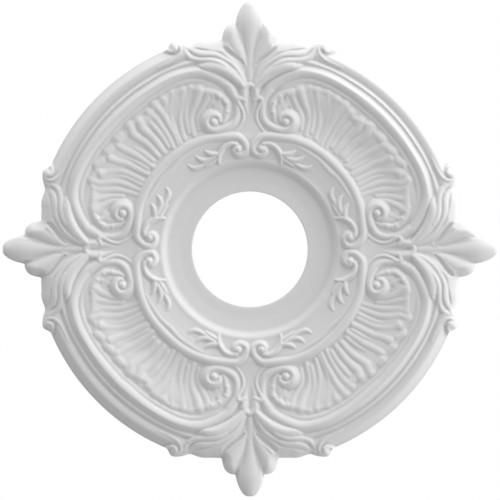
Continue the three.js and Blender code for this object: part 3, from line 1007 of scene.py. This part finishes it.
@dataclass(frozen=True)
class WhiteCasting:
    """A smooth white moulded finish with a faint mottle and fine grain, with painted shade in its
    hollows, which are also rougher.
    """

    white: tuple[float, float, float, float] = (0.80, 0.80, 0.80, 1.0)
    # the darker white is painted shade, mixed in where the surface lies in a hollow
    painted_shade_white: tuple[float, float, float, float] = (0.735, 0.735, 0.735, 1.0)
    roughness: Pair = (0.56, 0.72)
    specular: float = 0.35
    mottle_scale: float = 34.0
    mottle_detail: float = 4.0
    mottle_share: float = 0.5
    # the span of mottle plus hollow depth over which the painted shade is mixed in
    mottle_and_shade_range: Pair = (0.1, 1.1)
    grain_scale: float = 900.0
    grain_detail: float = 3.0
    grain_strength: float = 0.25
    grain_depth: float = 0.00006

    def surface(self) -> bpy.types.NodeTree:
        """Builds the node group of the casting's surface.

        Returns:
            A group that puts out colour with painted shade in the hollows, roughness and grain
            height.
        """
        group = bpy.data.node_groups.new("cast_surface", "ShaderNodeTree")
        sockets = group.interface
        sockets.new_socket("White", in_out="INPUT", socket_type="NodeSocketColor")
        # the darker white of the painted shade in the hollows
        sockets.new_socket("Painted Shade White", in_out="INPUT", socket_type="NodeSocketColor")
        sockets.new_socket("Colour", in_out="OUTPUT", socket_type="NodeSocketColor")
        sockets.new_socket("Roughness", in_out="OUTPUT", socket_type="NodeSocketFloat")
        sockets.new_socket("Grain", in_out="OUTPUT", socket_type="NodeSocketFloat")
        nodes, links = group.nodes, group.links
        given = nodes.new("NodeGroupInput")
        result = nodes.new("NodeGroupOutput")
        place = nodes.new("ShaderNodeTexCoord")
        mottle = nodes.new("ShaderNodeTexNoise")
        mottle.inputs["Scale"].default_value = self.mottle_scale
        mottle.inputs["Detail"].default_value = self.mottle_detail
        grain = nodes.new("ShaderNodeTexNoise")
        grain.inputs["Scale"].default_value = self.grain_scale
        grain.inputs["Detail"].default_value = self.grain_detail
        for noise in (mottle, grain):
            links.new(place.outputs["Object"], noise.inputs["Vector"])
        hollow = nodes.new("ShaderNodeAttribute")
        hollow.attribute_name = "hollow"
        shade = nodes.new("ShaderNodeMath")
        shade.operation = "MULTIPLY_ADD"
        shade.inputs[1].default_value = self.mottle_share
        links.new(mottle.outputs["Fac"], shade.inputs[0])
        links.new(hollow.outputs["Fac"], shade.inputs[2])
        spread = nodes.new("ShaderNodeMapRange")
        spread.inputs["From Min"].default_value = self.mottle_and_shade_range[0]
        spread.inputs["From Max"].default_value = self.mottle_and_shade_range[1]
        links.new(shade.outputs["Value"], spread.inputs["Value"])
        # painted shade: the colour runs from the white to the darker white with the mottle and the
        # hollow depth
        tone = nodes.new("ShaderNodeMix")
        tone.data_type = "RGBA"
        links.new(spread.outputs["Result"], tone.inputs["Factor"])
        links.new(given.outputs["White"], tone.inputs["A"])
        links.new(given.outputs["Painted Shade White"], tone.inputs["B"])
        links.new(tone.outputs["Result"], result.inputs["Colour"])
        dull = nodes.new("ShaderNodeMapRange")
        dull.inputs["To Min"].default_value = self.roughness[0]
        dull.inputs["To Max"].default_value = self.roughness[1]
        links.new(shade.outputs["Value"], dull.inputs["Value"])
        links.new(dull.outputs["Result"], result.inputs["Roughness"])
        links.new(grain.outputs["Fac"], result.inputs["Grain"])
        return group

    def material(self) -> bpy.types.Material:
        """Makes the finish's material.

        Returns:
            The material, ready for a mesh.
        """
        material = bpy.data.materials.new("white_casting")
        material.use_nodes = True
        nodes, links = material.node_tree.nodes, material.node_tree.links
        shader = nodes["Principled BSDF"]
        shader.inputs["Specular IOR Level"].default_value = self.specular
        surface = nodes.new("ShaderNodeGroup")
        surface.node_tree = self.surface()
        surface.inputs["White"].default_value = self.white
        surface.inputs["Painted Shade White"].default_value = self.painted_shade_white
        bump = nodes.new("ShaderNodeBump")
        bump.inputs["Strength"].default_value = self.grain_strength
        bump.inputs["Distance"].default_value = self.grain_depth
        links.new(surface.outputs["Colour"], shader.inputs["Base Color"])
        links.new(surface.outputs["Roughness"], shader.inputs["Roughness"])
        links.new(surface.outputs["Grain"], bump.inputs["Height"])
        links.new(bump.outputs["Normal"], shader.inputs["Normal"])
        return material


@dataclass(frozen=True)
class Studio:
    """The camera below the rose, its key light, soft surroundings and the pale floor."""

    photo_pixels: float = 500.0
    photo_middle: Pair = (249.86, 249.27)
    tip_pixels: float = 247.2
    lens: float = 140.0
    key_turn: float = 47.4
    key_height: float = 30.0
    key_strength: float = 0.3
    key_softness: float = 30.0
    ambient: float = 0.34
    ring_strength: float = 1.38
    ring_power: float = 3.0
    floor_depth: float = 2.6
    floor_radius: float = 1.6
    floor_sides: int = 64
    floor_colour: tuple[float, float, float, float] = (0.8, 0.8, 0.79, 1.0)
    floor_roughness: float = 0.8

    def camera(self, half_width: float) -> None:
        """Sets the camera straight below the rose.

        Args:
            half_width: the rose's half width in metres.
        """
        data = bpy.data.cameras.new("camera")
        data.lens = self.lens
        seen = half_width * self.photo_pixels / self.tip_pixels
        distance = seen * data.lens / data.sensor_width
        pixel = seen / self.photo_pixels
        middle = self.photo_pixels / 2
        right = (middle - self.photo_middle[0]) * pixel
        down = (middle - self.photo_middle[1]) * pixel
        camera = bpy.data.objects.new("camera", data)
        camera.location = (-right, -down, -distance)
        camera.rotation_euler = Euler((0, math.pi, 0))
        bpy.context.scene.collection.objects.link(camera)
        bpy.context.scene.camera = camera

    def key_side(self) -> Vector:
        """Gives the level direction from the rose to the key light."""
        turn = math.radians(self.key_turn)
        return Vector((-math.cos(turn), math.sin(turn), 0))

    def key_light(self) -> None:
        """Adds the soft parallel light that models the relief."""
        height = math.radians(self.key_height)
        towards = self.key_side() * math.cos(height) - Vector((0, 0, math.sin(height)))
        data = bpy.data.lights.new("key_light", "SUN")
        data.energy = self.key_strength
        data.angle = math.radians(self.key_softness)
        lamp = bpy.data.objects.new("key_light", data)
        lamp.rotation_euler = towards.to_track_quat("Z", "Y").to_euler()
        bpy.context.scene.collection.objects.link(lamp)

    def surroundings(self) -> None:
        """Adds a wide level ring of soft light, brighter on the key light's side."""
        world = bpy.data.worlds.new("surroundings")
        world.use_nodes = True
        nodes, links = world.node_tree.nodes, world.node_tree.links
        way = nodes.new("ShaderNodeTexCoord").outputs["Generated"]
        flat = nodes.new("ShaderNodeVectorMath")
        flat.operation = "MULTIPLY"
        flat.inputs[1].default_value = (1, 1, 0)
        links.new(way, flat.inputs[0])
        level = nodes.new("ShaderNodeVectorMath")
        level.operation = "LENGTH"
        links.new(flat.outputs["Vector"], level.inputs[0])
        toward = nodes.new("ShaderNodeVectorMath")
        toward.operation = "DOT_PRODUCT"
        toward.inputs[1].default_value = self.key_side()
        links.new(way, toward.inputs[0])
        levelness, keyward = level.outputs["Value"], toward.outputs["Value"]
        lean = self.combined(world.node_tree, "ADD", levelness, keyward)
        band = self.combined(world.node_tree, "POWER", levelness, self.ring_power)
        ring = self.combined(world.node_tree, "MULTIPLY", band, lean)
        strength = nodes.new("ShaderNodeMath")
        strength.operation = "MULTIPLY_ADD"
        strength.inputs[1].default_value = self.ring_strength
        strength.inputs[2].default_value = self.ambient
        links.new(ring, strength.inputs[0])
        seen = nodes["Background"]
        seen.inputs["Color"].default_value = (1, 1, 1, 1)
        glow = nodes.new("ShaderNodeBackground")
        links.new(strength.outputs["Value"], glow.inputs["Strength"])
        path = nodes.new("ShaderNodeLightPath")
        choice = nodes.new("ShaderNodeMixShader")
        links.new(path.outputs["Is Camera Ray"], choice.inputs["Fac"])
        links.new(glow.outputs["Background"], choice.inputs[1])
        links.new(seen.outputs["Background"], choice.inputs[2])
        links.new(choice.outputs["Shader"], nodes["World Output"].inputs["Surface"])
        bpy.context.scene.world = world
        bpy.context.scene.view_settings.view_transform = "Standard"

    def combined(
        self,
        tree: bpy.types.NodeTree,
        operation: str,
        first: bpy.types.NodeSocket,
        second: bpy.types.NodeSocket | float,
    ) -> bpy.types.NodeSocket:
        """Combines two values of the surroundings in one maths node.

        Args:
            tree: where the node goes.
            operation: what the node does with the two.
            first: the first value.
            second: the second value, a socket or a number.

        Returns:
            The node's result.
        """
        maths = tree.nodes.new("ShaderNodeMath")
        maths.operation = operation
        tree.links.new(first, maths.inputs[0])
        if isinstance(second, float):
            maths.inputs[1].default_value = second
        else:
            tree.links.new(second, maths.inputs[1])
        return maths.outputs["Value"]

    def floor(self) -> None:
        """Lays the plain pale floor of the room, which is staging and casts no shadow."""
        bm = bmesh.new()
        bmesh.ops.create_circle(
            bm, cap_ends=True, segments=self.floor_sides, radius=self.floor_radius
        )
        bmesh.ops.translate(bm, verts=bm.verts, vec=(0, 0, -self.floor_depth))
        mesh = bpy.data.meshes.new("floor")
        bm.to_mesh(mesh)
        bm.free()
        material = bpy.data.materials.new("pale_floor")
        material.use_nodes = True
        shader = material.node_tree.nodes["Principled BSDF"]
        shader.inputs["Base Color"].default_value = self.floor_colour
        shader.inputs["Roughness"].default_value = self.floor_roughness
        mesh.materials.append(material)
        floor = bpy.data.objects.new("floor", mesh)
        floor.visible_shadow = False
        bpy.context.scene.collection.objects.link(floor)


def main() -> None:
    """Builds the rose and its studio."""
    logging.basicConfig(level=logging.INFO, format="%(name)s: %(message)s")
    studio = Studio()
    studio.camera((cad_high.x - cad_low.x) / 2)
    studio.key_light()
    studio.surroundings()
    studio.floor()
    Casting().build(WhiteCasting())


if __name__ == "__main__":
    main()
